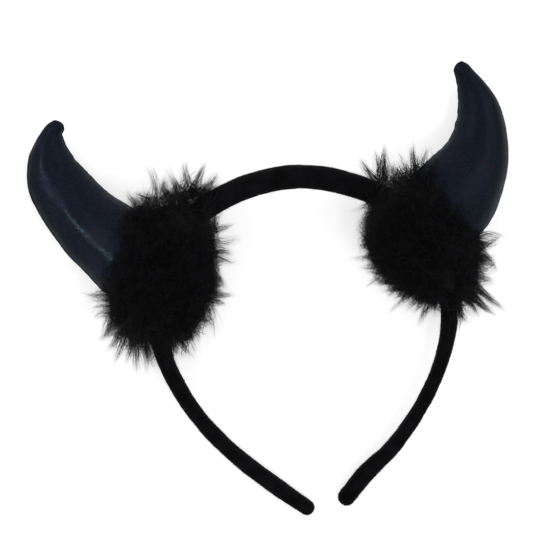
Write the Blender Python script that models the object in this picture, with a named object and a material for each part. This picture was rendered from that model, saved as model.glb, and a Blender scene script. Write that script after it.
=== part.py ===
"""A devil horns headband, lying on a table as it does when it is put down.

A padded hoop covered in velvet carries two stuffed horns, and a trim of marabou fluff is wound
round each horn's base. Units are metres with +Z up, +X to the right and +Y towards the crown of
the hoop. The tables are in millimetres. The origin is under the middle of the whole headband.
"""

import math
from collections import namedtuple

import bmesh
import bpy
import numpy as np
from mathutils import Vector
from mathutils.bvhtree import BVHTree

# Driving dimensions
MM = 0.001
SEAT_GAP = 0.3  # between neighbours that touch on the real headband
HOOP_TILT = math.radians(8.0)  # the hoop's ends lie on the table and its crown is held up by the fluff
HOOP_END_Y = -93.0
HOOP_END_LIFT = 4.3  # height of the strip's middle at the ends
HOOP_SIDES = 14
HOOP_SQUARENESS = 2.5  # 2 is an ellipse, more is squarer
HORN_SIDES = 20
PANEL_POINT = 1.25  # 1 is an ellipse, more brings the two panels to a sharper seam
TRIM_LIFT = 21.0  # height of a fluff trim's middle
TRIM_RISE = 29.0  # from its middle to its top
TRIM_DROP = 30.0  # from its middle down, past the table that flattens it
TRIM_SQUARENESS = 2.5
TRIM_CORE = 0.81  # the packed fluff, as a share of the reach of its locks
LOCK_SPREAD = (0.92, 1.15)  # shortest and longest lock, as shares of the reach
LOCK_LEAN = 0.3  # how far a lock's tip leans sideways, as a share of its length
LOCK_CLEARANCE = 1.5  # a lock starts at least this far from the hoop and the horn

# Centre line of the hoop, seen from above, from its left end to its right end, with the strip's
# thickness across the hoop and its width along the head
HoopStation = namedtuple("HoopStation", "x y thick wide")
HOOP = (
    HoopStation(17.3, -95.4, 6.6, 8.4),
    HoopStation(5.6, -87.3, 7.3, 8.8),
    HoopStation(-10.5, -75.2, 7.0, 8.8),
    HoopStation(-25.5, -61.0, 6.8, 8.8),
    HoopStation(-36.8, -45.5, 6.8, 9.0),
    HoopStation(-44.8, -28.5, 7.4, 9.2),
    HoopStation(-47.5, -10.5, 8.2, 9.4),
    HoopStation(-45.4, 8.5, 9.0, 9.6),
    HoopStation(-35.8, 26.0, 9.6, 9.8),
    HoopStation(-20.0, 38.3, 10.0, 10.0),
    HoopStation(-2.0, 45.5, 10.1, 10.0),
    HoopStation(16.3, 47.7, 10.1, 10.0),
    HoopStation(35.0, 44.6, 10.0, 10.0),
    HoopStation(52.5, 37.0, 9.6, 9.8),
    HoopStation(67.0, 23.5, 9.0, 9.6),
    HoopStation(76.2, 6.0, 8.2, 9.4),
    HoopStation(78.6, -13.0, 7.2, 9.2),
    HoopStation(75.2, -31.7, 6.2, 9.0),
    HoopStation(67.2, -50.2, 6.2, 8.8),
    HoopStation(55.4, -67.7, 6.6, 8.8),
    HoopStation(42.5, -80.8, 7.6, 8.8),
    HoopStation(34.6, -90.8, 7.4, 8.4),
)

# Sections of a horn from its base to its tip: the seam on its outer, rounder side, the seam on
# its inner, hollow side, its depth between the two panels, and the height of its middle
HornSection = namedtuple("HornSection", "outer_x outer_y inner_x inner_y depth lift")
LEFT_HORN = (
    HornSection(-56.3, -8.2, -38.3, 24.1, 29.0, 19.0),
    HornSection(-64.4, -5.4, -45.9, 28.4, 30.0, 17.6),
    HornSection(-72.0, -0.4, -53.6, 32.2, 30.0, 16.2),
    HornSection(-80.4, 8.3, -62.2, 37.4, 28.6, 14.2),
    HornSection(-87.9, 16.6, -69.4, 42.2, 26.6, 12.4),
    HornSection(-94.2, 24.6, -75.2, 47.0, 24.6, 11.3),
    HornSection(-99.4, 33.0, -80.0, 52.1, 22.2, 10.6),
    HornSection(-103.0, 41.0, -83.8, 57.0, 19.6, 10.4),
    HornSection(-104.1, 48.8, -86.6, 61.4, 16.6, 10.6),
    HornSection(-103.0, 56.6, -88.0, 65.4, 13.2, 11.0),
    HornSection(-99.8, 63.8, -88.3, 68.6, 9.8, 11.6),
    HornSection(-95.2, 69.8, -88.9, 71.0, 6.2, 12.2),
    HornSection(-92.6, 71.9, -91.2, 72.2, 2.0, 12.6),
)
RIGHT_HORN = (
    HornSection(78.3, 12.5, 53.8, 39.1, 29.0, 21.0),
    HornSection(87.0, 18.6, 61.0, 46.8, 30.0, 19.4),
    HornSection(93.9, 26.0, 67.9, 53.2, 29.6, 17.6),
    HornSection(98.7, 33.6, 73.4, 58.2, 28.2, 15.0),
    HornSection(101.8, 41.4, 77.4, 62.8, 26.4, 12.6),
    HornSection(103.5, 50.0, 80.0, 67.6, 24.2, 11.1),
    HornSection(104.1, 58.8, 81.4, 72.4, 21.8, 10.4),
    HornSection(103.4, 67.4, 82.1, 77.2, 19.2, 10.4),
    HornSection(101.7, 75.4, 82.6, 81.8, 16.2, 10.8),
    HornSection(98.6, 82.6, 82.5, 86.4, 13.0, 11.4),
    HornSection(93.9, 89.2, 81.8, 90.8, 9.6, 12.2),
    HornSection(88.0, 94.8, 81.2, 94.6, 6.0, 13.0),
    HornSection(84.4, 97.4, 82.9, 97.5, 1.8, 13.6),
)

# How far a trim's locks reach from its middle, seen from above, at every 30 degrees from +X
# towards +Y
Trim = namedtuple("Trim", "x y reach seed")
LEFT_TRIM = Trim(-44.7, 6.9, (25.0, 28.5, 45.0, 37.5, 31.0, 22.5, 24.0, 31.0, 40.0, 41.0, 33.0, 28.0), 5)
RIGHT_TRIM = Trim(67.9, 20.6, (27.0, 19.0, 20.0, 32.0, 38.0, 33.0, 26.5, 26.0, 25.5, 29.0, 40.0, 31.5), 8)

# Colours and finishes
Finish = namedtuple("Finish", "red green blue roughness metallic")
VELVET = Finish(0.008, 0.008, 0.009, 0.95, 0.0)
LAME = Finish(0.018, 0.022, 0.040, 0.38, 0.55)
FLUFF = Finish(0.006, 0.006, 0.008, 0.90, 0.0)


def clear_scene():
    for obj in list(bpy.data.objects):
        bpy.data.objects.remove(obj, do_unlink=True)


def material(name, finish):
    """A plain Principled material of the given finish."""
    made = bpy.data.materials.new(name)
    made.use_nodes = True
    shader = made.node_tree.nodes["Principled BSDF"]
    shader.inputs["Base Color"].default_value = (finish.red, finish.green, finish.blue, 1.0)
    shader.inputs["Roughness"].default_value = finish.roughness
    shader.inputs["Metallic"].default_value = finish.metallic
    made.diffuse_color = (finish.red, finish.green, finish.blue, 1.0)
    return made


def add_object(name, shape, look=None):
    """Puts a bmesh into the scene as an object, smooth apart from its real edges."""
    mesh = bpy.data.meshes.new(name)
    shape.to_mesh(mesh)
    shape.free()
    mesh.shade_smooth()
    mesh.set_sharp_from_angle(angle=math.radians(40))
    obj = bpy.data.objects.new(name, mesh)
    if look:
        mesh.materials.append(look)
    bpy.context.scene.collection.objects.link(obj)
    return obj


def add_cutter(name, shape):
    """The same for a helper that only cuts, which isn't a piece of the headband."""
    cutter = add_object(name, shape)
    cutter.hide_render = True
    cutter.display_type = "WIRE"
    return cutter


def cut(obj, cutter):
    boolean = obj.modifiers.new("clear of " + cutter.name, "BOOLEAN")
    boolean.operation = "DIFFERENCE"
    boolean.object = cutter


def smooth_rows(rows, steps):
    """A Catmull-Rom spline through a table's rows, which treats every column alike."""
    rows = np.array(rows, float)
    padded = np.vstack([2 * rows[0] - rows[1], rows, 2 * rows[-1] - rows[-2]])
    points = []
    for before, start, end, after in zip(padded, padded[1:], padded[2:], padded[3:]):
        for t in np.arange(steps) / steps:
            linear = (end - before) * t
            square = (2 * before - 5 * start + 4 * end - after) * t**2
            cubic = (3 * start - before - 3 * end + after) * t**3
            points.append(start + 0.5 * (linear + square + cubic))
    points.append(rows[-1])
    return points


def loft(rings):
    """A closed skin through rings of as many points each, with a flat cap on either end."""
    shape = bmesh.new()
    loops = [[shape.verts.new(Vector(point) * MM) for point in ring] for ring in rings]
    for first, second in zip(loops, loops[1:]):
        for a, b, c, d in zip(first, first[1:] + first[:1], second[1:] + second[:1], second):
            shape.faces.new((a, b, c, d))
    for end in (loops[0], loops[-1]):
        shape.faces.new(end)
    bmesh.ops.recalc_face_normals(shape, faces=shape.faces)
    return shape


def signed_power(value, power):
    return math.copysign(abs(value) ** power, value)


def on_table(point):
    """The point, or the place on the table above it where the table flattens the cloth."""
    return Vector((point.x, point.y, max(point.z, 0.0)))


def hoop_height(y):
    """Height of the hoop's middle plane, which is tilted."""
    return HOOP_END_LIFT + (y - HOOP_END_Y) * math.tan(HOOP_TILT)


def hoop_skin(grow=0.0):
    """The padded strip, with its ends rounded off, or the same grown all round by a clearance."""
    stations = [HoopStation(*row) for row in smooth_rows(HOOP, 4)]
    centres = [Vector((s.x, s.y, hoop_height(s.y))) for s in stations]
    axial = Vector((0.0, -math.sin(HOOP_TILT), math.cos(HOOP_TILT)))
    rings = []
    for i, station in enumerate(stations):
        ahead = centres[min(i + 1, len(centres) - 1)] - centres[max(i - 1, 0)]
        ahead.normalize()
        sideways = ahead.cross(axial)
        centre = centres[i]
        for along, share in end_rounding(i, len(stations)):
            ring = []
            for k in range(HOOP_SIDES):
                angle = 2 * math.pi * (k + 0.5) / HOOP_SIDES
                across = signed_power(math.cos(angle), 2 / HOOP_SQUARENESS)
                up = signed_power(math.sin(angle), 2 / HOOP_SQUARENESS)
                ring.append(
                    on_table(
                        centre
                        + ahead * along * (station.thick / 2 + grow)
                        + sideways * across * share * (station.thick / 2 + grow)
                        + axial * up * share * (station.wide / 2 + grow)
                    )
                )
            rings.append(ring)
    return loft(rings)


def end_rounding(index, count):
    """Steps along the strip, and the section's share of its full size there: a dome at an end."""
    dome = [(math.sin(turn), math.cos(turn)) for turn in (0.0, 0.5, 0.95, 1.3)]
    if index == 0:
        return [(-step, share) for step, share in reversed(dome)]
    if index == count - 1:
        return dome
    return [(0.0, 1.0)]


def horn_skin(sections, grow=0.0):
    """Two bulging panels that meet at a seam along the outer and the inner edge."""
    rings = []
    for row in smooth_rows(sections, 2):
        section = HornSection(*row)
        outer = Vector((section.outer_x, section.outer_y, section.lift))
        inner = Vector((section.inner_x, section.inner_y, section.lift))
        half = (outer - inner) / 2
        half += half.normalized() * grow
        ring = []
        for k in range(HORN_SIDES):
            angle = 2 * math.pi * k / HORN_SIDES
            bulge = signed_power(math.sin(angle), PANEL_POINT) * (section.depth / 2 + grow)
            point = (outer + inner) / 2 + half * math.cos(angle) + Vector((0.0, 0.0, bulge))
            ring.append(on_table(point))
        rings.append(ring)
    return loft(rings)


def reach_at(trim, direction):
    """How far the locks reach from the trim's middle in a direction."""
    turn = math.degrees(math.atan2(direction.y, direction.x)) % 360 / 30
    here = int(turn)
    ease = (1 - math.cos(math.pi * (turn - here))) / 2
    level = trim.reach[here % 12] * (1 - ease) + trim.reach[(here + 1) % 12] * ease
    flat = math.hypot(direction.x, direction.y) / level
    upright = abs(direction.z) / (TRIM_RISE if direction.z > 0 else TRIM_DROP)
    return (flat**TRIM_SQUARENESS + upright**TRIM_SQUARENESS) ** (-1 / TRIM_SQUARENESS)


def trim_skin(trim, obstacles):
    """Packed fluff round the horn's base, with a lock pulled out of most of its facets."""
    chance = np.random.default_rng(trim.seed)
    middle = Vector((trim.x, trim.y, TRIM_LIFT)) * MM
    trees = [BVHTree.FromObject(obj, bpy.context.evaluated_depsgraph_get()) for obj in obstacles]
    shape = bmesh.new()
    bmesh.ops.create_icosphere(shape, subdivisions=3, radius=1.0)
    for vert in shape.verts:
        vert.co = middle + vert.co * reach_at(trim, vert.co) * TRIM_CORE * MM
        vert.co.z = max(vert.co.z, 0.0)
    shape.normal_update()
    for face in list(shape.faces):
        root = face.calc_center_median()
        out = (root - middle).normalized()
        swirl = Vector((0.0, 0.0, 1.0)).cross(out)
        length = reach_at(trim, out) * MM * chance.uniform(*LOCK_SPREAD) - (root - middle).length
        lean = (swirl * chance.uniform(-1, 1) + Vector((0, 0, chance.uniform(-0.6, 1)))) * LOCK_LEAN
        tip = root + (out + lean).normalized() * length
        knee = root + (out + lean * 0.4).normalized() * length * 0.45
        if root.z < 0.5 * MM or tip.z < 2 * MM or meets(trees, root, tip):
            continue
        made = bmesh.ops.extrude_discrete_faces(shape, faces=[face])["faces"]
        for vert in made[0].verts:
            vert.co = knee + (vert.co - root) * 0.6
        apex = bmesh.ops.poke(shape, faces=made)["verts"][0]
        apex.co = tip
    return shape


def meets(trees, root, tip):
    """Whether a lock would touch the hoop or the horn on its way."""
    for step in (0.0, 0.25, 0.5, 0.75, 1.0):
        point = root.lerp(tip, step)
        for tree in trees:
            near, normal, _, distance = tree.find_nearest(point)
            if distance < LOCK_CLEARANCE * MM or (point - near).dot(normal) < 0:
                return True
    return False


def make_hoop():
    add_object("headband", hoop_skin(), material("black velvet", VELVET))
    return add_cutter("hoop_clearance", hoop_skin(SEAT_GAP))


def make_horn(side, sections, hoop_clearance):
    horn = add_object("horn_" + side, horn_skin(sections), material("blue-black lame", LAME))
    cut(horn, hoop_clearance)
    return add_cutter("horn_clearance_" + side, horn_skin(sections, SEAT_GAP))


def make_trim(side, trim, clearances):
    fluff = add_object("fur_trim_" + side, trim_skin(trim, clearances), material("black marabou", FLUFF))
    for clearance in clearances:
        cut(fluff, clearance)


clear_scene()
around_hoop = make_hoop()
for side, sections, trim in (("left", LEFT_HORN, LEFT_TRIM), ("right", RIGHT_HORN, RIGHT_TRIM)):
    around_horn = make_horn(side, sections, around_hoop)
    make_trim(side, trim, (around_hoop, around_horn))
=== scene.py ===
# %% [markdown]
# # A devil horns headband
#
# The real thing is a padded hoop in black velvet, two stuffed horns sewn from shiny blue-black
# lame, and a trim of black marabou down wound round the foot of each horn. It lies flat on a
# white table and is seen from straight above.
#
# The solids of the five pieces come from the frame. This lesson dresses them: it gives the hoop
# its nap, sews and creases the horns, and grows the down strand by strand.

# %% Load the frame
import math

import bmesh
import bpy
import numpy as np
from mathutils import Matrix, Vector, noise
from mathutils.bvhtree import BVHTree


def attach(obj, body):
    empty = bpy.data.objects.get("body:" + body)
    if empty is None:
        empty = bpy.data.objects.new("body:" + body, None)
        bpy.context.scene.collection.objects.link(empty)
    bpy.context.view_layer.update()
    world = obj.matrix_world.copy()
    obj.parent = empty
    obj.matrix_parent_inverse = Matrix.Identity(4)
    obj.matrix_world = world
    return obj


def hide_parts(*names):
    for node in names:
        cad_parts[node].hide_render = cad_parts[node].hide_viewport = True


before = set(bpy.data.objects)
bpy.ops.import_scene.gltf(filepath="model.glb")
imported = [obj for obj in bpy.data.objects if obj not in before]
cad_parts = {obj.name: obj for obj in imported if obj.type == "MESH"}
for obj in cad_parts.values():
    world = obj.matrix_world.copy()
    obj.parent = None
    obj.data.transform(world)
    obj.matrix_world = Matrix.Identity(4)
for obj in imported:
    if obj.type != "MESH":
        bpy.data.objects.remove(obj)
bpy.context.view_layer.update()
MM = 0.001
print("solids:", ", ".join(sorted(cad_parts)))

# %% [markdown]
# ## The camera
#
# The photograph was taken from straight above, so the camera looks down -Z with +Y at the top of
# the picture, which is how a new camera already points. It stands well back behind a long lens,
# because the photograph shows hardly any perspective: near and far edges keep their sizes.

# %% Place the camera
PIXEL = 0.43 * MM  # real length that one pixel of the photograph covers
PHOTO_WIDTH = 551
PHOTO_ORIGIN = (267, 288)  # pixel of the photograph that lies over the part's origin
CAMERA_HEIGHT = 1.5
AIM_HEIGHT = 0.02  # the picture's scale is right at this height above the table

camera = bpy.data.objects.new("camera", bpy.data.cameras.new("camera"))
bpy.context.scene.collection.objects.link(camera)
bpy.context.scene.camera = camera
camera.location = (
    (PHOTO_WIDTH / 2 - PHOTO_ORIGIN[0]) * PIXEL,
    (PHOTO_ORIGIN[1] - PHOTO_WIDTH / 2) * PIXEL,
    CAMERA_HEIGHT,
)
camera.data.sensor_width = 36
camera.data.lens = 36 * (CAMERA_HEIGHT - AIM_HEIGHT) / (PHOTO_WIDTH * PIXEL)
print("lens", round(camera.data.lens), "mm")

# %% [markdown]
# ## Light and table
#
# Black cloth on white is lit by what surrounds it: the white table sends light up under every
# edge and draws the pale rims of the horns. The left horn's glint comes from a small soft box that
# stands where the cloth mirrors it into the camera: there the cloth is tilted by 20 degrees, so
# the box is 40 degrees from straight up. A weaker one does the same for the right horn, and two
# wide boxes give a little shape. The sky stays dim, because the smooth tops mirror it too.


# %% Set up the light
def soft_box(name, place, size, power):
    """A square area light that points at the middle of the part."""
    lamp = bpy.data.lights.new(name, "AREA")
    lamp.size = size
    lamp.energy = power
    obj = bpy.data.objects.new(name, lamp)
    obj.location = place
    obj.rotation_euler = (-Vector(place)).to_track_quat("-Z", "Y").to_euler()
    bpy.context.scene.collection.objects.link(obj)
    return obj


glint_box_left = soft_box("glint_box_left", (-0.88, -0.02, 0.92), 0.2, 3.6)
soft_box("glint_box_right", (0.40, -0.42, 1.1), 0.10, 1.2)
soft_box("wide_box_right", (1.1, 0.5, 0.9), 0.9, 2.5)
soft_box("wide_box_left", (-1.0, 0.7, 0.9), 0.9, 2.5)

sky = bpy.data.worlds.new("sky")
bpy.context.scene.world = sky
sky.use_nodes = True
sky.node_tree.nodes["Background"].inputs["Color"].default_value = (1.0, 1.0, 1.0, 1.0)
sky.node_tree.nodes["Background"].inputs["Strength"].default_value = 0.6
bpy.context.scene.view_settings.view_transform = "Standard"

# %% [markdown]
# ## Helpers for materials
#
# Every finish here is a Principled BSDF with textures in front of it. A small helper adds a node
# and sets its values, so that each material reads as a list of its nodes.


# %% Material helpers
def add_node(tree, kind, **settings):
    """A new node, with its properties set by name and its inputs by the name with spaces."""
    made = tree.nodes.new(kind)
    for name, value in settings.items():
        if name.startswith("in_"):
            made.inputs[name[3:].replace("_", " ")].default_value = value
        else:
            setattr(made, name, value)
    return made


def new_material(name, **inputs):
    """A Principled material, its node tree and its shader."""
    made = bpy.data.materials.new(name)
    made.use_nodes = True
    shader = made.node_tree.nodes["Principled BSDF"]
    for label, value in inputs.items():
        shader.inputs[label.replace("_", " ")].default_value = value
    return made, made.node_tree, shader


def ramp(tree, *stops):
    """A colour ramp with the given (place, colour) stops."""
    made = tree.nodes.new("ShaderNodeValToRGB")
    elements = made.color_ramp.elements
    while len(elements) < len(stops):
        elements.new(0.5)
    for element, (place, colour) in zip(elements, stops):
        element.position = place
        element.color = (*colour, 1.0)
    return made


print("helpers ready")

# %% [markdown]
# ## Two effects that all the cloths share
#
# Cloth is never one flat tone: dye, crushing and handling leave soft clouds in it, a few
# millimetres to a few centimetres wide. *Clouds* makes them. *Fine grain* is the roughness that
# the eye feels more than sees, at a fraction of a millimetre, and it feeds a bump. Each is a node
# group, so that every cloth takes the same effect with its own sizes.


# %% Build the shared node groups
def new_group(name, inputs, outputs):
    """An empty shader node group with named float inputs and outputs, and a vector input."""
    group = bpy.data.node_groups.new(name, "ShaderNodeTree")
    group.interface.new_socket("Vector", in_out="INPUT", socket_type="NodeSocketVector")
    for label, value in inputs:
        socket = group.interface.new_socket(label, in_out="INPUT", socket_type="NodeSocketFloat")
        socket.default_value = value
    for label in outputs:
        group.interface.new_socket(label, in_out="OUTPUT", socket_type="NodeSocketFloat")
    return group, group.nodes.new("NodeGroupInput"), group.nodes.new("NodeGroupOutput")


def make_clouds():
    group, source, result = new_group("Clouds", (("Scale", 60.0), ("Contrast", 1.0)), ("Value",))
    large = add_node(group, "ShaderNodeTexNoise", in_Detail=4.0, in_Roughness=0.55)
    centred = add_node(group, "ShaderNodeMath", operation="SUBTRACT")
    centred.inputs[1].default_value = 0.5
    spread = add_node(group, "ShaderNodeMath", operation="MULTIPLY")
    back = add_node(group, "ShaderNodeMath", operation="ADD", use_clamp=True)
    back.inputs[1].default_value = 0.5
    group.links.new(source.outputs["Vector"], large.inputs["Vector"])
    group.links.new(source.outputs["Scale"], large.inputs["Scale"])
    group.links.new(large.outputs["Fac"], centred.inputs[0])
    group.links.new(centred.outputs[0], spread.inputs[0])
    group.links.new(source.outputs["Contrast"], spread.inputs[1])
    group.links.new(spread.outputs[0], back.inputs[0])
    group.links.new(back.outputs[0], result.inputs["Value"])
    return group


def make_fine_grain():
    group, source, result = new_group("Fine grain", (("Scale", 2500.0), ("Coarse share", 0.4)), ("Height",))
    fine = add_node(group, "ShaderNodeTexNoise", in_Detail=3.0, in_Roughness=0.7)
    coarse = add_node(group, "ShaderNodeTexVoronoi")
    smaller = add_node(group, "ShaderNodeMath", operation="MULTIPLY")
    smaller.inputs[1].default_value = 0.3
    mixed = add_node(group, "ShaderNodeMix")
    group.links.new(source.outputs["Vector"], fine.inputs["Vector"])
    group.links.new(source.outputs["Vector"], coarse.inputs["Vector"])
    group.links.new(source.outputs["Scale"], fine.inputs["Scale"])
    group.links.new(source.outputs["Scale"], smaller.inputs[0])
    group.links.new(smaller.outputs[0], coarse.inputs["Scale"])
    group.links.new(source.outputs["Coarse share"], mixed.inputs["Factor"])
    group.links.new(fine.outputs["Fac"], mixed.inputs["A"])
    group.links.new(coarse.outputs["Distance"], mixed.inputs["B"])
    group.links.new(mixed.outputs["Result"], result.inputs["Height"])
    return group


CLOUDS = make_clouds()
FINE_GRAIN = make_fine_grain()
print("groups:", CLOUDS.name, "and", FINE_GRAIN.name)


# %% Place a shared group in a material
def use_group(tree, group, vector, **values):
    """The group as a node in a material, reading the given coordinates."""
    made = tree.nodes.new("ShaderNodeGroup")
    made.node_tree = group
    for label, value in values.items():
        made.inputs[label.replace("_", " ")].default_value = value
    tree.links.new(vector, made.inputs["Vector"])
    return made


def add_bump(tree, shader, height, strength, depth, under=None):
    """A bump on the shader's normal, over another bump if one is given."""
    bump = add_node(tree, "ShaderNodeBump", in_Strength=strength, in_Distance=depth)
    tree.links.new(height, bump.inputs["Height"])
    if under:
        tree.links.new(under.outputs["Normal"], bump.inputs["Normal"])
    tree.links.new(bump.outputs["Normal"], shader.inputs["Normal"])
    return bump


print("group helpers ready")

# %% [markdown]
# ## The table
#
# A photographer's white sweep: it is a plane far larger than the picture, a little bright of its
# own so that the shadows under the headband stay as faint as they are in the photograph. It is
# hidden from reflections, which would otherwise draw its glare all round the horns.

# %% Lay the table
TABLE_SIDE = 6.0
shape = bmesh.new()
bmesh.ops.create_grid(shape, x_segments=1, y_segments=1, size=TABLE_SIDE / 2)
table = bpy.data.objects.new("table", bpy.data.meshes.new("table"))
shape.to_mesh(table.data)
shape.free()
table.location.z = -0.0002
bpy.context.scene.collection.objects.link(table)
sweep, sweep_tree, sweep_shader = new_material(
    "white sweep",
    Base_Color=(0.9, 0.9, 0.9, 1.0),
    Roughness=0.9,
    Specular_IOR_Level=0.1,
    Emission_Color=(1.0, 1.0, 1.0, 1.0),
    Emission_Strength=0.55,
)
table.data.materials.append(sweep)
table.visible_glossy = False
print("table", TABLE_SIDE, "m wide")

# %% [markdown]
# ## Velvet, lame and down
#
# **Velvet** swallows light: its pile stands up, so it is almost black from above and paler where
# it turns away, which is what Sheen is for. Clouds stand for nap that has been stroked two ways.
#
# **Lame** is knitted cloth with a skin of dark foil. It is satin rather than glitter: a dim blue
# that drifts between violet and teal, with flecks of foil in it. The flecks are the brighter cells
# of a Voronoi texture. They are smoother, metallic and teal, but as dark as the dye, so they show
# only where a lamp is mirrored, and there they break the highlight into small sparks.
#
# **Down** is a fine matt fibre. It stays nearly black, with a slight gloss along each strand.


# %% Make the velvet
def make_velvet():
    made, tree, shader = new_material(
        "black velvet",
        Specular_IOR_Level=0.04,
        Sheen_Weight=0.04,
        Sheen_Roughness=0.45,
        Sheen_Tint=(0.55, 0.55, 0.62, 1.0),
    )
    place = add_node(tree, "ShaderNodeTexCoord").outputs["Object"]
    nap = use_group(tree, CLOUDS, place, Scale=160.0, Contrast=2.2)
    colour = ramp(tree, (0.0, (0.0017, 0.0017, 0.0021)), (1.0, (0.0078, 0.0078, 0.0090)))
    rough = add_node(tree, "ShaderNodeMapRange", in_To_Min=0.78, in_To_Max=0.98)
    grain = use_group(tree, FINE_GRAIN, place, Scale=4200.0, Coarse_share=0.35)
    tree.links.new(nap.outputs["Value"], colour.inputs["Fac"])
    tree.links.new(colour.outputs["Color"], shader.inputs["Base Color"])
    tree.links.new(nap.outputs["Value"], rough.inputs["Value"])
    tree.links.new(rough.outputs["Result"], shader.inputs["Roughness"])
    add_bump(tree, shader, grain.outputs["Height"], 0.6, 0.00025)
    return made


# %% Make the lame
def make_lame():
    made, tree, shader = new_material(
        "blue-black lame",
        Specular_IOR_Level=0.10,
        Specular_Tint=(0.72, 0.84, 1.0, 1.0),
        Coat_Weight=0.03,
        Coat_Roughness=0.28,
        Coat_Tint=(0.85, 0.93, 1.0, 1.0),
    )
    place = add_node(tree, "ShaderNodeTexCoord").outputs["Object"]
    hue = use_group(tree, CLOUDS, place, Scale=48.0, Contrast=2.4)
    dye = ramp(
        tree,
        (0.0, (0.0042, 0.0068, 0.0122)),
        (0.4, (0.0060, 0.0064, 0.0168)),
        (0.7, (0.0076, 0.0066, 0.0178)),
        (1.0, (0.0046, 0.0070, 0.0126)),
    )
    # Painted shade: a band stored on the horn's points darkens the dye inside the bulging edge, where the
    # cloth turns away from the light.
    painted_edge_shade = add_node(tree, "ShaderNodeAttribute", attribute_name="painted_edge_shade")
    shaded = add_node(tree, "ShaderNodeMix", data_type="RGBA", blend_type="MULTIPLY")
    shaded.inputs["B"].default_value = (0.30, 0.36, 0.30, 1.0)
    cells = add_node(tree, "ShaderNodeTexVoronoi", in_Scale=1700.0)
    cell_tone = add_node(tree, "ShaderNodeSeparateColor")
    bright = ramp(tree, (0.5, (0.0, 0.0, 0.0)), (1.0, (1.0, 1.0, 1.0)))
    tinted = add_node(tree, "ShaderNodeMix", data_type="RGBA", blend_type="MIX")
    tinted.inputs["B"].default_value = (0.0045, 0.0125, 0.0180, 1.0)
    foil = add_node(tree, "ShaderNodeMapRange", in_To_Min=0.0, in_To_Max=0.9)
    gloss = add_node(tree, "ShaderNodeMapRange", in_To_Min=0.44, in_To_Max=0.22)
    crumple = use_group(tree, CLOUDS, place, Scale=330.0, Contrast=1.4)
    grain = use_group(tree, FINE_GRAIN, place, Scale=2600.0, Coarse_share=0.5)
    tree.links.new(place, cells.inputs["Vector"])
    tree.links.new(cells.outputs["Color"], cell_tone.inputs["Color"])
    tree.links.new(cell_tone.outputs["Red"], bright.inputs["Fac"])
    tree.links.new(hue.outputs["Value"], dye.inputs["Fac"])
    tree.links.new(bright.outputs["Color"], tinted.inputs["Factor"])
    tree.links.new(painted_edge_shade.outputs["Fac"], shaded.inputs["Factor"])
    tree.links.new(dye.outputs["Color"], shaded.inputs["A"])
    tree.links.new(shaded.outputs["Result"], tinted.inputs["A"])
    tree.links.new(tinted.outputs["Result"], shader.inputs["Base Color"])
    tree.links.new(bright.outputs["Color"], foil.inputs["Value"])
    tree.links.new(foil.outputs["Result"], shader.inputs["Metallic"])
    tree.links.new(bright.outputs["Color"], gloss.inputs["Value"])
    tree.links.new(gloss.outputs["Result"], shader.inputs["Roughness"])
    creases = add_bump(tree, shader, crumple.outputs["Value"], 0.22, 0.0004)
    add_bump(tree, shader, grain.outputs["Height"], 0.35, 0.00010, under=creases)
    return made


# %% Make the down
def make_down():
    made, tree, shader = new_material("black marabou", Specular_IOR_Level=0.2)
    place = add_node(tree, "ShaderNodeTexCoord").outputs["Object"]
    tone = use_group(tree, CLOUDS, place, Scale=240.0, Contrast=2.0)
    colour = ramp(tree, (0.0, (0.0020, 0.0021, 0.0030)), (1.0, (0.0085, 0.0086, 0.0115)))
    rough = add_node(tree, "ShaderNodeMapRange", in_To_Min=0.5, in_To_Max=0.8)
    grain = use_group(tree, FINE_GRAIN, place, Scale=3000.0, Coarse_share=0.2)
    tree.links.new(tone.outputs["Value"], colour.inputs["Fac"])
    tree.links.new(colour.outputs["Color"], shader.inputs["Base Color"])
    tree.links.new(tone.outputs["Value"], rough.inputs["Value"])
    tree.links.new(rough.outputs["Result"], shader.inputs["Roughness"])
    add_bump(tree, shader, grain.outputs["Height"], 0.3, 0.00005)
    return made


VELVET = make_velvet()
LAME = make_lame()
DOWN = make_down()
print("materials:", VELVET.name, LAME.name, DOWN.name)


# %% [markdown]
# ## Finishing a piece
#
# Every piece ends the same way: its mesh becomes an object at the origin, with its place in its
# points, one material, smooth faces and the body that it moves with. Writing that once keeps
# each piece's own cell about its shape.


# %% Finish a piece
def finish_piece(name, mesh, look, slot, *stands_for):
    """An object for a finished mesh, riding on the headband."""
    obj = bpy.data.objects.new(name, mesh)
    bpy.context.scene.collection.objects.link(obj)
    mesh.materials.append(look)
    mesh.shade_smooth()
    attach(obj, "root")
    if stands_for:
        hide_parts(*stands_for)
    mesh.calc_loop_triangles()
    print(name, len(mesh.loop_triangles), "triangles")
    return obj


def mesh_of(name, shape):
    mesh = bpy.data.meshes.new(name)
    shape.to_mesh(mesh)
    shape.free()
    return mesh


# %% [markdown]
# ## The velvet hoop
#
# The hoop's solid is a loft with flat facets. Its copy gets its triangles joined back into
# four-sided faces, which subdivide smoothly, and then small wrinkles: velvet that is pulled round
# a bent strip gathers across it, so the noise is squeezed along the strip. The angle about the
# middle of the hoop tells how far along the strip a point lies.

# %% Dress the hoop
HOOP_MIDDLE = Vector((15.0, -14.0, 0.0)) * MM
WRINKLE_DEPTH = 0.22 * MM


def along_hoop(point):
    """Distance along the strip, roughly, from the angle about the hoop's middle."""
    offset = point - HOOP_MIDDLE
    return math.atan2(offset.y, offset.x) * 65 * MM, math.hypot(offset.x, offset.y)


def wrinkle(point):
    """Height of the gathers at a point: short along the strip and long across it."""
    along, out = along_hoop(point)
    broad = noise.noise(Vector((along * 420, out * 90, point.z * 90)))
    kink = noise.noise(Vector((along * 130, out * 60, point.z * 60)) + Vector((7, 3, 1)))
    return (0.6 * broad + kink) * WRINKLE_DEPTH


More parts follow.
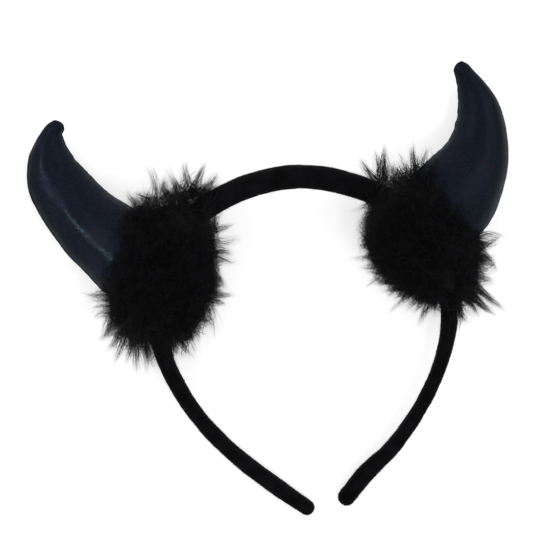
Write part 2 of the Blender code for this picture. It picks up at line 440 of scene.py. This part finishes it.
def make_hoop():
    shape = bmesh.new()
    shape.from_mesh(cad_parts["headband"].data)
    bmesh.ops.remove_doubles(shape, verts=shape.verts, dist=0.002 * MM)
    bmesh.ops.join_triangles(
        shape,
        faces=shape.faces,
        angle_face_threshold=math.radians(40),
        angle_shape_threshold=math.radians(180),
    )
    bmesh.ops.subdivide_edges(shape, edges=shape.edges, cuts=2, use_grid_fill=True, smooth=0.8)
    bmesh.ops.triangulate(shape, faces=[f for f in shape.faces if len(f.verts) > 4])
    shape.normal_update()
    for vert in shape.verts:
        vert.co += vert.normal * wrinkle(vert.co)
        vert.co.z = max(vert.co.z, 0.0)
    return finish_piece("velvet_hoop", mesh_of("velvet_hoop", shape), VELVET, "black_velvet", "headband")


hoop = make_hoop()

# %% [markdown]
# ## The horns
#
# Each horn is two panels of lame sewn edge to edge and stuffed. A row of the table is a section
# from the base to the tip: the outer seam, the inner seam, the depth between the panels and the
# height of the middle, the same as the horn's solid has. The horn starts as a circle of points;
# the loop of edges is extruded from section to section, and its points are set on the section's
# outline.
#
# What makes it look sewn is added on the way. The seam lies in a narrow groove. The cloth beside
# it is gathered into puckers, deepest along the hollow edge, where there is too much of it. A
# long soft crease runs down each upper panel, and clouds of noise dent the stuffing.
#
# Extruding hands its new points back in an order that changes from run to run, so the points are
# sorted at the end. Without that the down, which is laid round the horn, would change too.

# %% Name the sizes of a horn
HORN_AROUND = 112
HORN_STEPS = 11  # rings from one row of the table to the next
PANEL_POINT = 1.25  # 1 is an ellipse, more brings the two panels to a sharper seam
SEAM_DEPTH = 0.6
SEAM_WIDTH = 0.5
PUCKER_DEPTH = 0.08
PUCKER_PITCH = 4.2
PUCKER_REACH = 3.2
DENT_DEPTH = 0.75
DENT_SIZE = 15.0
CRUMPLE_DEPTH = 0.14
CRUMPLE_SIZE = 4.0

# Columns: outer x, outer y, inner x, inner y, depth, lift, all in millimetres
LEFT_HORN = (
    (-56.3, -8.2, -38.3, 24.1, 29.0, 19.0),
    (-64.4, -5.4, -45.9, 28.4, 30.0, 17.6),
    (-72.0, -0.4, -53.6, 32.2, 30.0, 16.2),
    (-80.4, 8.3, -62.2, 37.4, 28.6, 14.2),
    (-87.9, 16.6, -69.4, 42.2, 26.6, 12.4),
    (-94.2, 24.6, -75.2, 47.0, 24.6, 11.3),
    (-99.4, 33.0, -80.0, 52.1, 22.2, 10.6),
    (-103.0, 41.0, -83.8, 57.0, 19.6, 10.4),
    (-104.1, 48.8, -86.6, 61.4, 16.6, 10.6),
    (-103.0, 56.6, -88.0, 65.4, 13.2, 11.0),
    (-99.4, 63.8, -87.8, 68.3, 9.8, 11.6),
    (-96.2, 69.0, -88.1, 70.8, 6.6, 12.2),
    (-94.2, 71.3, -89.4, 72.0, 4.0, 12.5),
    (-92.4, 72.4, -91.2, 72.6, 1.6, 12.6),
)
RIGHT_HORN = (
    (78.3, 12.5, 53.8, 39.1, 29.0, 21.0),
    (87.0, 18.6, 61.0, 46.8, 30.0, 19.4),
    (93.9, 26.0, 67.9, 53.2, 29.6, 17.6),
    (98.7, 33.6, 73.4, 58.2, 28.2, 15.0),
    (101.8, 41.4, 77.4, 62.8, 26.4, 12.6),
    (103.5, 50.0, 80.0, 67.6, 24.2, 11.1),
    (104.1, 58.8, 81.4, 72.4, 21.8, 10.4),
    (103.4, 67.4, 82.1, 77.2, 19.2, 10.4),
    (101.7, 75.4, 82.6, 81.8, 16.2, 10.8),
    (98.6, 82.6, 82.5, 86.4, 13.0, 11.4),
    (93.9, 89.2, 81.8, 90.8, 9.6, 12.2),
    (88.8, 94.4, 81.1, 94.0, 6.6, 13.0),
    (86.4, 96.8, 81.7, 96.6, 4.0, 13.4),
    (84.6, 97.9, 83.3, 97.9, 1.6, 13.6),
)
print("a horn has", len(LEFT_HORN), "sections")


# %% Run a smooth curve through the sections
def smooth_rows(rows, steps):
    """A Catmull-Rom spline through a table's rows, which treats every column alike."""
    rows = np.array(rows, float)
    padded = np.vstack([2 * rows[0] - rows[1], rows, 2 * rows[-1] - rows[-2]])
    points = []
    for before, start, end, after in zip(padded, padded[1:], padded[2:], padded[3:]):
        for t in np.arange(steps) / steps:
            linear = (end - before) * t
            square = (2 * before - 5 * start + 4 * end - after) * t**2
            cubic = (3 * start - before - 3 * end + after) * t**3
            points.append(start + 0.5 * (linear + square + cubic))
    points.append(rows[-1])
    return points


print("sections after smoothing:", len(smooth_rows(LEFT_HORN, HORN_STEPS)))


# %% Work out the sewn detail at a point of a horn
def bell(distance, width):
    return math.exp(-((distance / width) ** 2))


def sewn_height(marks, where, along, angle, half_width):
    """How far the cloth stands out, in millimetres, at a point of the upper or lower panel.

    The angle is 0 at the outer seam and half a turn at the inner one.
    """
    height = DENT_DEPTH * noise.noise(where / DENT_SIZE)
    height += CRUMPLE_DEPTH * noise.noise(where / CRUMPLE_SIZE + Vector((5, 9, 2)))
    for seam_angle, pucker_share in ((marks["outer_seam"], 0.25), (math.pi, 1.0)):
        gap = abs(math.remainder(angle - seam_angle, 2 * math.pi)) * half_width
        height -= SEAM_DEPTH * bell(gap, SEAM_WIDTH)
        height += 0.5 * SEAM_DEPTH * bell(gap - 2.2 * SEAM_WIDTH, SEAM_WIDTH)
        sway = 1.6 * noise.noise(Vector((along / 9, seam_angle, 0)))
        ripple = math.sin(2 * math.pi * along / PUCKER_PITCH + 3 * sway)
        height += PUCKER_DEPTH * pucker_share * ripple * math.exp(-gap / PUCKER_REACH)
    for start, end, across, across_end, depth, width in marks["creases"]:
        if start < along < end:
            share = (along - start) / (end - start)
            drift = 1.2 * noise.noise(Vector((along / 12, depth, 4)))
            gap = (math.cos(angle) - across * (1 - share) - across_end * share) * half_width + drift
            height += depth * math.sin(math.pi * share) * bell(gap, width) * (math.sin(angle) > 0)
    for centre, seam_angle, depth, width in marks["folds"]:
        gap = abs(math.remainder(angle - seam_angle, 2 * math.pi)) * half_width
        slant = along - centre - 0.35 * gap
        height -= depth * bell(slant, width) * math.exp(-gap / (5 * width))
    return height


# Outer seam: its angle. Shade: the angle and width of the band of painted shade inside the bulging edge,
# where the cloth turns away from the light.
# Creases: from and to along the horn, places across from and to (1 is the outer edge), height
# and width. Folds: place along the horn, the seam that they start from, depth and width.
LEFT_MARKS = {
    "outer_seam": 0.24,
    "shade": (0.60, 0.20),
    "creases": (
        (10, 66, 0.33, 0.04, 0.3, 2.2),
        (34, 80, -0.15, -0.2, -0.3, 2.6),
        (18, 48, 0.42, 0.36, 0.45, 2.2),
    ),
    "folds": ((77.0, math.pi, 0.45, 1.6), (82.0, math.pi, -0.5, 2.6), (60.0, math.pi, 0.3, 1.6)),
}
RIGHT_MARKS = {
    "outer_seam": 0.0,
    "shade": (0.78, 0.17),
    "creases": (
        (30, 62, 0.1, 0.35, 0.2, 2.2),
        (36, 84, 0.45, 0.4, -0.25, 2.8),
        (2, 30, -0.1, 0.25, 0.3, 2.4),
    ),
    "folds": ((47.5, math.pi, -0.3, 2.0), (52.0, math.pi, 0.3, 1.8), (80.0, math.pi, -0.5, 2.8)),
}
print("marks on the left horn:", sum(len(v) for v in LEFT_MARKS.values() if isinstance(v, tuple)))


# %% Extrude a horn from its base to its tip
def set_ring(verts, row, marks, along, shade):
    """Puts a ring's points on a section, with the sewn detail added and a band of painted shade inside the
    bulging edge.
    """
    outer = Vector((row[0], row[1], row[5]))
    inner = Vector((row[2], row[3], row[5]))
    middle, half = (outer + inner) / 2, (outer - inner) / 2
    depth = row[4] / 2
    ease = min(1.0, half.length / 5)
    for k, vert in enumerate(verts):
        angle = 2 * math.pi * k / HORN_AROUND
        across, bulge = math.cos(angle), math.sin(angle)
        rise = math.copysign(abs(bulge) ** PANEL_POINT, bulge) * depth
        point = middle + half * across + Vector((0, 0, rise))
        outward = (half.normalized() * across * depth + Vector((0, 0, bulge)) * half.length).normalized()
        point += outward * ease * sewn_height(marks, point, along, angle, half.length)
        point.z = max(point.z, 0.0)
        vert.co = point * MM
        # Painted shade: how far the dye is darkened here, most in a band inside the bulging edge.
        vert[shade] = bell(angle - marks["shade"][0], marks["shade"][1]) * min(1.0, half.length / 7)


def make_horn(side, sections, marks):
    rows = smooth_rows(sections, HORN_STEPS)
    shape = bmesh.new()
    # This layer holds the painted shade that the lame's material reads.
    shade = shape.verts.layers.float.new("painted_edge_shade")
    ring = bmesh.ops.create_circle(shape, cap_ends=True, segments=HORN_AROUND, radius=MM)["verts"]
    along = 0.0
    set_ring(ring, rows[0], marks, along, shade)
    in_order = list(ring)
    for before, row in zip(rows, rows[1:]):
        along += math.hypot(*((row[:2] + row[2:4]) / 2 - (before[:2] + before[2:4]) / 2))
        edges = [shape.edges.get(pair) for pair in zip(ring, ring[1:] + ring[:1])]
        grown = set(bmesh.ops.extrude_edge_only(shape, edges=edges)["geom"])
        ring = [grown_from(vert, grown) for vert in ring]
        set_ring(ring, row, marks, along, shade)
        in_order += ring
    tip_edges = [shape.edges.get(pair) for pair in zip(ring, ring[1:] + ring[:1])]
    bmesh.ops.edgenet_fill(shape, edges=tip_edges)
    bmesh.ops.recalc_face_normals(shape, faces=shape.faces)
    put_in_order(shape, in_order)
    name = "lame_horn_" + side
    horn = finish_piece(name, mesh_of(name, shape), LAME, "blue_black_lame", "horn_" + side)
    print(name, "is", round(along), "mm along its middle")
    return horn


def grown_from(vert, grown):
    """The extruded point that a point of the last ring is joined to."""
    return next(edge.other_vert(vert) for edge in vert.link_edges if edge.other_vert(vert) in grown)


def first_and_last(item):
    """A number that an edge or a face shares with no other, from its first and last point."""
    numbers = [vert.index for vert in item.verts]
    return min(numbers) * 1e6 + max(numbers)


def put_in_order(shape, verts):
    """Sorts points and faces, because extruding leaves them in another order on each run."""
    for number, vert in enumerate(verts):
        vert.index = number
    shape.verts.sort(key=lambda vert: vert.index)
    shape.verts.index_update()
    shape.edges.sort(key=first_and_last)
    shape.faces.sort(key=first_and_last)


left_horn = make_horn("left", LEFT_HORN, LEFT_MARKS)
right_horn = make_horn("right", RIGHT_HORN, RIGHT_MARKS)

# %% [markdown]
# ## One lamp for one horn
#
# The left glint box would also throw a shadow beside each trim and a thin line of light on the
# other horn's tip, and the photograph has neither. Light linking keeps it to its own horn.

# %% Let the left glint box light its horn alone
lit_by_left_box = bpy.data.collections.new("lit by the left glint box")
lit_by_left_box.objects.link(left_horn)
glint_box_left.light_linking.receiver_collection = lit_by_left_box

# %% [markdown]
# ## Strands as joined needles
#
# Pile and down are hairs too many to model one by one. NumPy lays out thousands of curved paths
# at once, and each becomes a needle: three-sided rings that taper along the path, a point at the
# tip and a small cap at the root. Joined in one mesh they stay light, and each strand is a closed
# solid of its own.


# %% Turn paths into needles
def needle_mesh(name, bundles):
    """One mesh of needles. A bundle is (paths, radius): strands x points x 3, in millimetres."""
    points, faces, first = [], [], 0
    for paths, radius in bundles:
        count, steps, _ = paths.shape
        ahead = np.gradient(paths, axis=1) if steps > 2 else np.repeat(np.diff(paths, axis=1), 2, axis=1)
        ahead /= np.linalg.norm(ahead, axis=2, keepdims=True) + 1e-9
        side = np.cross(ahead, (0.31, 0.52, 0.79))
        side /= np.linalg.norm(side, axis=2, keepdims=True) + 1e-9
        over = np.cross(ahead, side)
        thickness = radius * np.linspace(1.0, 0.2, steps)[:-1][None, :, None]
        corners = []
        for turn in (0.0, 2 * math.pi / 3, 4 * math.pi / 3):
            around = (math.cos(turn) * side + math.sin(turn) * over)[:, :-1]
            corners.append(paths[:, :-1] + around * thickness)
        body = np.stack(corners, axis=2).reshape(count, -1, 3)
        points.append(np.concatenate([body, paths[:, -1:]], axis=1).reshape(-1, 3))
        each = 3 * (steps - 1) + 1
        strand = [(0, 2, 1)]
        for ring in range(0, 3 * (steps - 2), 3):
            for near, far in ((0, 1), (1, 2), (2, 0)):
                strand.append((ring + near, ring + far, ring + 3 + far, ring + 3 + near))
        strand += [(each - 4 + c, each - 4 + (c + 1) % 3, each - 1) for c in range(3)]
        starts = first + each * np.arange(count)
        for face in strand:
            faces += (np.array(face)[None, :] + starts[:, None]).tolist()
        first += each * count
    mesh = bpy.data.meshes.new(name)
    mesh.from_pydata(np.concatenate(points) * MM, [], faces)
    return mesh


print("needles ready")

# %% [markdown]
# ## The velvet's pile
#
# A bump can't soften an outline. The hoop's edge looks soft in the photograph because its pile
# stands out by half a millimetre, so short needles are planted all over it, leaning a little
# their own way.

# %% Plant the pile
PILE_COUNT = 26000
PILE_LENGTH = 0.55
PILE_RADIUS = 0.055
PILE_LEAN = 0.45


def plant_pile(on):
    chance = np.random.default_rng(3)
    on.data.calc_loop_triangles()
    corners = np.empty(len(on.data.loop_triangles) * 3, np.int32)
    on.data.loop_triangles.foreach_get("vertices", corners)
    places = np.empty(len(on.data.vertices) * 3, np.float32)
    on.data.vertices.foreach_get("co", places)
    triangles = places.reshape(-1, 3)[corners.reshape(-1, 3)].astype(float) / MM
    upright = np.cross(triangles[:, 1] - triangles[:, 0], triangles[:, 2] - triangles[:, 0])
    area = np.linalg.norm(upright, axis=1)
    upright /= area[:, None] + 1e-12
    picks = chance.choice(len(area), PILE_COUNT, p=area / area.sum())
    share = np.sort(chance.random((PILE_COUNT, 2)), axis=1)
    weights = np.stack([share[:, 0], share[:, 1] - share[:, 0], 1 - share[:, 1]], axis=1)
    root = (triangles[picks] * weights[..., None]).sum(axis=1)
    lean = upright[picks] + chance.normal(0, PILE_LEAN, (PILE_COUNT, 3))
    lean /= np.linalg.norm(lean, axis=1, keepdims=True)
    tip = root + lean * PILE_LENGTH * chance.uniform(0.5, 1.2, (PILE_COUNT, 1))
    paths = np.stack([root - 0.1 * upright[picks], tip], axis=1)
    paths[..., 2] = np.maximum(paths[..., 2], PILE_RADIUS)
    finish_piece("velvet_pile", needle_mesh("velvet_pile", [(paths, PILE_RADIUS)]), VELVET, "black_velvet")


plant_pile(hoop)

# %% [markdown]
# ## The marabou
#
# Marabou is down on a cord, wound round the foot of the horn. It is made of plumes: a thin quill
# with soft barbs off it on all sides, longest at its root, so that the plume ends in a fuzzy
# point. The fluff reaches as far as its solid does: the table gives the reach from the trim's
# middle at every 30 degrees, seen from above.
#
# Each trim gets four things: a packed core, so that no light shows through, short down that hides
# the core, plumes spread evenly over it, and locks of long loose hair. A slow noise leans
# neighbours together, which is how down lies, so tufts gather and gaps open between them. The
# wisps that stand out all round in the photograph are placed one by one.

# %% Name the sizes of the fluff
TRIM_LIFT = 21.0
TRIM_RISE = 29.0
TRIM_DROP = 30.0
TRIM_SQUARENESS = 2.5
CORE_SHARE = 0.62
ROOT_SHARE = 0.64
DOWN_COUNT = 9500
PLUMES = 320
BARBS = 46
LOCKS = 150
LOCK_HAIRS = 28
QUILL_RADIUS = 0.13
HAIR_RADIUS = 0.085
BARB_RADIUS = 0.065
DOWN_ROOTS = (0.58, 0.84)  # shares of the reach between which the short down starts
TUFT_SIZE = 2.2  # how many tufts the slow noise makes, more is smaller ones
TUFT_LEAN = 0.8
LEFT_TRIM = ((-44.7, 6.9), (25.0, 28.5, 46.5, 40.0, 33.0, 22.5, 24.0, 31.0, 40.0, 41.0, 33.0, 28.0), 21)
RIGHT_TRIM = ((67.9, 20.6), (27.0, 19.0, 20.0, 32.0, 38.0, 33.0, 28.5, 29.0, 28.0, 30.0, 40.0, 31.5), 34)


# %% List the wisps that stand out in the photograph
# Columns: root x, root y, tip x, tip y, hairs. The places are pixels of the photograph.
LEFT_WISPS = (
    (151, 193, 144, 160, 30),
    (142, 205, 124, 190, 50),
    (146, 200, 133, 193, 50),
    (167, 193, 164, 175, 60),
    (176, 189, 171, 175, 50),
    (190, 186, 184, 157, 50),
    (196, 186, 208, 161, 70),
    (199, 189, 218, 171, 90),
    (203, 196, 223, 186, 60),
    (210, 225, 236, 222, 60),
    (215, 236, 244, 237, 35),
    (212, 252, 236, 254, 90),
    (214, 257, 239, 264, 40),
    (214, 279, 227, 289, 60),
    (210, 293, 235, 295, 60),
    (208, 298, 227, 305, 50),
    (199, 309, 215, 328, 70),
    (187, 332, 199, 347, 50),
    (180, 336, 195, 359, 60),
    (153, 341, 157, 370, 70),
    (142, 341, 148, 375, 70),
    (135, 338, 135, 379, 70),
    (131, 332, 123, 368, 70),
    (126, 330, 110, 368, 70),
    (122, 327, 106, 354, 60),
    (117, 323, 97, 343, 60),
    (117, 318, 105, 338, 80),
    (119, 314, 95, 317, 80),
    (117, 311, 90, 309, 60),
    (110, 298, 79, 292, 30),
    (112, 296, 87, 298, 40),
)
RIGHT_WISPS = (
    (375, 177, 359, 156, 60),
    (377, 173, 371, 149, 35),
    (383, 173, 384, 143, 80),
    (401, 177, 392, 162, 50),
    (403, 178, 399, 164, 40),
    (414, 173, 407, 160, 50),
    (414, 171, 410, 147, 60),
    (420, 169, 414, 139, 35),
    (422, 165, 431, 143, 35),
    (429, 165, 437, 154, 40),
    (387, 218, 360, 205, 60),
    (385, 227, 356, 224, 80),
    (388, 236, 362, 218, 50),
    (383, 242, 353, 236, 50),
    (388, 247, 360, 246, 80),
    (405, 262, 348, 260, 80),
    (403, 266, 354, 268, 60),
    (411, 273, 369, 283, 90),
    (418, 281, 379, 292, 90),
    (422, 290, 386, 316, 50),
    (426, 292, 402, 311, 60),
    (429, 299, 414, 315, 60),
    (433, 301, 418, 328, 70),
    (437, 299, 437, 318, 50),
    (481, 238, 507, 239, 40),
    (481, 242, 501, 233, 50),
    (480, 251, 498, 257, 40),
    (478, 262, 496, 275, 60),
    (474, 273, 498, 285, 50),
    (474, 281, 511, 314, 90),
    (470, 288, 501, 318, 90),
    (468, 294, 493, 316, 70),
    (463, 299, 482, 320, 70),
    (459, 303, 470, 326, 70),
    (455, 307, 459, 331, 60),
)
print("wisps:", len(LEFT_WISPS), "and", len(RIGHT_WISPS))


# %% Measure how far the fluff reaches
def reach_towards(ways, reach):
    """The fluff's reach in millimetres in each of the given directions."""
    turn = np.degrees(np.arctan2(ways[:, 1], ways[:, 0])) % 360 / 30
    here = turn.astype(int) % 12
    ease = (1 - np.cos(np.pi * (turn % 1))) / 2
    table_row = np.array(reach)
    level = table_row[here] * (1 - ease) + table_row[(here + 1) % 12] * ease
    flat = np.hypot(ways[:, 0], ways[:, 1]) / level
    upright = np.abs(ways[:, 2]) / np.where(ways[:, 2] > 0, TRIM_RISE, TRIM_DROP)
    return (flat**TRIM_SQUARENESS + upright**TRIM_SQUARENESS) ** (-1 / TRIM_SQUARENESS)


def unit(vectors):
    return vectors / (np.linalg.norm(vectors, axis=-1, keepdims=True) + 1e-9)


print("reach straight up:", reach_towards(np.array([[0.0, 0.0, 1.0]]), LEFT_TRIM[1]))


# %% Pack the core of a trim
def pack_core(side, trim):
    (x, y), reach, seed = trim
    shape = bmesh.new()
    bmesh.ops.create_icosphere(shape, subdivisions=5, radius=1.0)
    ways = np.array([vert.co for vert in shape.verts], float)
    far = reach_towards(unit(ways), reach) * CORE_SHARE
    for vert, way, distance in zip(shape.verts, ways, far):
        lump = 1 + 0.06 * noise.noise(Vector(way) * 6 + Vector((seed, 0, 0)))
        vert.co = (Vector((x, y, TRIM_LIFT)) + Vector(way) * distance * lump) * MM
        vert.co.z = max(vert.co.z, 0.0)
    name = "marabou_core_" + side
    return finish_piece(name, mesh_of(name, shape), DOWN, "black_marabou", "fur_trim_" + side)


pack_core("left", LEFT_TRIM)
pack_core("right", RIGHT_TRIM)


# %% Spread roots and tips over a trim
def lean_at(way, seed):
    """A slow noise along x, y and z. Blender's noise_vector would differ from run to run."""
    return [noise.noise(Vector(way) * TUFT_SIZE + Vector((seed, 10 * axis, 2))) for axis in range(3)]


def spread(chance, trim, count, roots, lengths, scatter):
    """Roots and tips, in millimetres from the trim's middle, with neighbours leaning together."""
    _, reach, seed = trim
    index = np.arange(count) + 0.5
    polar = np.arccos(1 - 1.6 * index / count)
    spin = np.pi * (1 + 5**0.5) * index
    ways = np.stack([np.cos(spin) * np.sin(polar), np.sin(spin) * np.sin(polar), np.cos(polar)], axis=1)
    drift = np.array([lean_at(way, seed) for way in ways])
    aim = unit(ways + drift * TUFT_LEAN + chance.normal(0, scatter, (count, 3)))
    root = ways * (reach_towards(ways, reach) * roots)[:, None]
    tip = aim * (reach_towards(aim, reach) * lengths)[:, None]
    return root, tip


def arc(start, knee, end, steps):
    """Points along curves that leave start towards knee and arrive at end."""
    t = np.linspace(0, 1, steps)[None, :, None]
    return start[:, None] * (1 - t) ** 2 + 2 * knee[:, None] * t * (1 - t) + end[:, None] * t**2


def bowed(chance, root, tip, bend, steps):
    """Curves from root to tip, each bowed sideways by about bend millimetres."""
    side = np.cross(unit(tip - root), chance.normal(0, 1, root.shape))
    return arc(root, (root + tip) / 2 + side * bend, tip, steps)


one_bow = bowed(np.random.default_rng(1), np.zeros((1, 3)), np.ones((1, 3)), 0.2, 3)
print("a bow of 3 points:", one_bow.shape)


# %% Make short down, quills with barbs, and long locks
def short_down(chance, trim):
    share = chance.uniform(*DOWN_ROOTS, DOWN_COUNT)
    root, tip = spread(chance, trim, DOWN_COUNT, share, share + chance.uniform(0.1, 0.26, DOWN_COUNT), 0.3)
    return bowed(chance, root, tip, 1.4, 3)


def plume_quills(chance, trim):
    lengths = chance.uniform(0.76, 0.98, PLUMES) + np.where(chance.random(PLUMES) < 0.12, 0.14, 0.0)
    root, tip = spread(chance, trim, PLUMES, ROOT_SHARE, lengths, 0.14)
    return bowed(chance, root, tip, 2.6, 4)


def barbs_off(chance, quills):
    """Soft barbs off quills: longest near the root, and swept towards the tip."""
    count = len(quills) * BARBS
    carriers = np.repeat(quills, BARBS, axis=0)
    place = np.tile(np.linspace(0.12, 0.99, BARBS), len(quills)) * 2.999
    step, share = place.astype(int), (place % 1)[:, None]
    rows = np.arange(count)
    base = carriers[rows, step] * (1 - share) + carriers[rows, step + 1] * share
    ahead = unit(carriers[rows, step + 1] - carriers[rows, step])
    aside = unit(np.cross(ahead, chance.normal(0, 1, (count, 3))))
    length = (5.2 - 1.35 * place)[:, None] * chance.uniform(0.6, 1.25, (count, 1))
    knee = base + (ahead * 0.45 + aside * 0.5) * length
    end = base + (ahead * 1.0 + aside * chance.uniform(0.3, 0.8, (count, 1))) * length
    return arc(base, knee, end, 3)


def long_locks(chance, trim):
    """Loose hairs in locks: side by side at the root, and fanned or gathered at the tip."""
    lengths = chance.uniform(0.85, 1.08, LOCKS) + np.where(chance.random(LOCKS) < 0.16, 0.2, 0.0)
    root, tip = spread(chance, trim, LOCKS, ROOT_SHARE, lengths, 0.16)
    side = np.cross(unit(tip - root), chance.normal(0, 1, root.shape)) * 3.0
    fan = chance.uniform(0.5, 2.2, (LOCKS, 1))
    root, tip, side, fan = (np.repeat(part, LOCK_HAIRS, axis=0) for part in (root, tip, side, fan))
    count = len(root)
    start = root + chance.normal(0, 1.6, (count, 3))
    length = chance.uniform(0.4, 1.0, (count, 1)) ** 0.6
    end = root + (tip - root) * length + side * (1 - length) + chance.normal(0, 1, (count, 3)) * fan
    return arc(start, (start + end) / 2 + side * 0.8, end, 4)


def placed_wisps(chance, wisps):
    """Wisps that start deep in the fluff, bow a little and gather to a point."""
    paths = []
    for root_x, root_y, tip_x, tip_y, hairs in wisps:
        height = chance.uniform(9, 30)
        ends = np.array([[root_x, root_y, 0], [tip_x, tip_y, 0]], float)
        ends = (ends - (*PHOTO_ORIGIN, 0)) * (PIXEL / MM, -PIXEL / MM, 0)
        ends[:, 2] = height, max(2.0, height + chance.uniform(-9, 5))
        run = ends[1] - ends[0]
        bow = np.cross(unit(run), (0, 0, 1)) * chance.uniform(-5.0, 5.0)
        start = ends[0] - run * 0.35 + chance.normal(0, 1.7, (hairs, 3))
        share = chance.uniform(0.35, 1.02, (hairs, 1)) ** 0.7
        loose = chance.normal(0, 1, (hairs, 3)) * (2.3 - 1.6 * share)
        end = ends[0] + run * share + bow * (1 - share) + loose
        knee = (start + end) / 2 + bow + chance.normal(0, 0.5, (hairs, 3))
        paths.append(arc(start, knee, end, 4))
    return np.concatenate(paths)


print("hairs in a trim:", DOWN_COUNT + PLUMES * (1 + BARBS) + LOCKS * LOCK_HAIRS)

# %% [markdown]
# ## Keeping the down out of the horns and the hoop
#
# Hairs laid out without a thought for their neighbours would grow through the horn. A tree of
# the horn's and the hoop's faces finds the nearest point of them, and its normal tells inside
# from outside: what is inside moves out onto the cloth, where it lies as real down would, and a
# hair whose tip is deep inside is dropped. The table flattens what hangs too low.

# %% Lay the hairs round the cloth
KEEP_OFF = 0.25
DEEP = 2.5
SEARCH = 16.0  # cloth further away than this is left out of the search


def faces_of(obj):
    """An object's points and faces, each face read from its first point, the same on each run."""
    corners = [tuple(face.vertices) for face in obj.data.polygons]
    starts = [face.index(min(face)) for face in corners]
    corners = [face[start:] + face[:start] for face, start in zip(corners, starts)]
    return [v.co for v in obj.data.vertices], corners


def lay_round(paths, trees):
    """The paths moved out of the cloth and off the table, without those that end inside."""
    kept = np.ones(len(paths), bool)
    for i, path in enumerate(paths):
        for k, point in enumerate(path):
            for tree in trees:
                place = Vector(point) * MM
                near, normal, _, distance = tree.find_nearest(place, SEARCH * MM)
                if near is None or (place - near).dot(normal) > 0:
                    continue
                if k == len(path) - 1 and distance > DEEP * MM:
                    kept[i] = False
                path[k] = (near + normal * KEEP_OFF * MM) / MM
    paths = paths[kept]
    low = HAIR_RADIUS + np.abs(np.sin(np.arange(len(paths)) * 2.4))[:, None] * 0.8
    paths[..., 2] = np.maximum(paths[..., 2], low)
    return paths


def wind_trim(side, trim, wisps, cloths):
    (x, y), _, seed = trim
    chance = np.random.default_rng(seed)
    middle = np.array([x, y, TRIM_LIFT])
    trees = [BVHTree.FromPolygons(*faces_of(cloth)) for cloth in cloths]
    down = lay_round(short_down(chance, trim) + middle, trees)
    quills = plume_quills(chance, trim) + middle
    barbs = lay_round(barbs_off(chance, quills), trees)
    quills = lay_round(quills, trees)
    locks = lay_round(long_locks(chance, trim) + middle, trees)
    placed = lay_round(placed_wisps(chance, wisps), trees)
    for part, bundles in (
        ("down", [(down, HAIR_RADIUS)]),
        ("plumes", [(quills, QUILL_RADIUS), (barbs, BARB_RADIUS)]),
        ("locks", [(locks, HAIR_RADIUS), (placed, HAIR_RADIUS)]),
    ):
        name = f"marabou_{part}_{side}"
        finish_piece(name, needle_mesh(name, bundles), DOWN, "black_marabou")


wind_trim("left", LEFT_TRIM, LEFT_WISPS, (left_horn, hoop))
wind_trim("right", RIGHT_TRIM, RIGHT_WISPS, (right_horn, hoop))
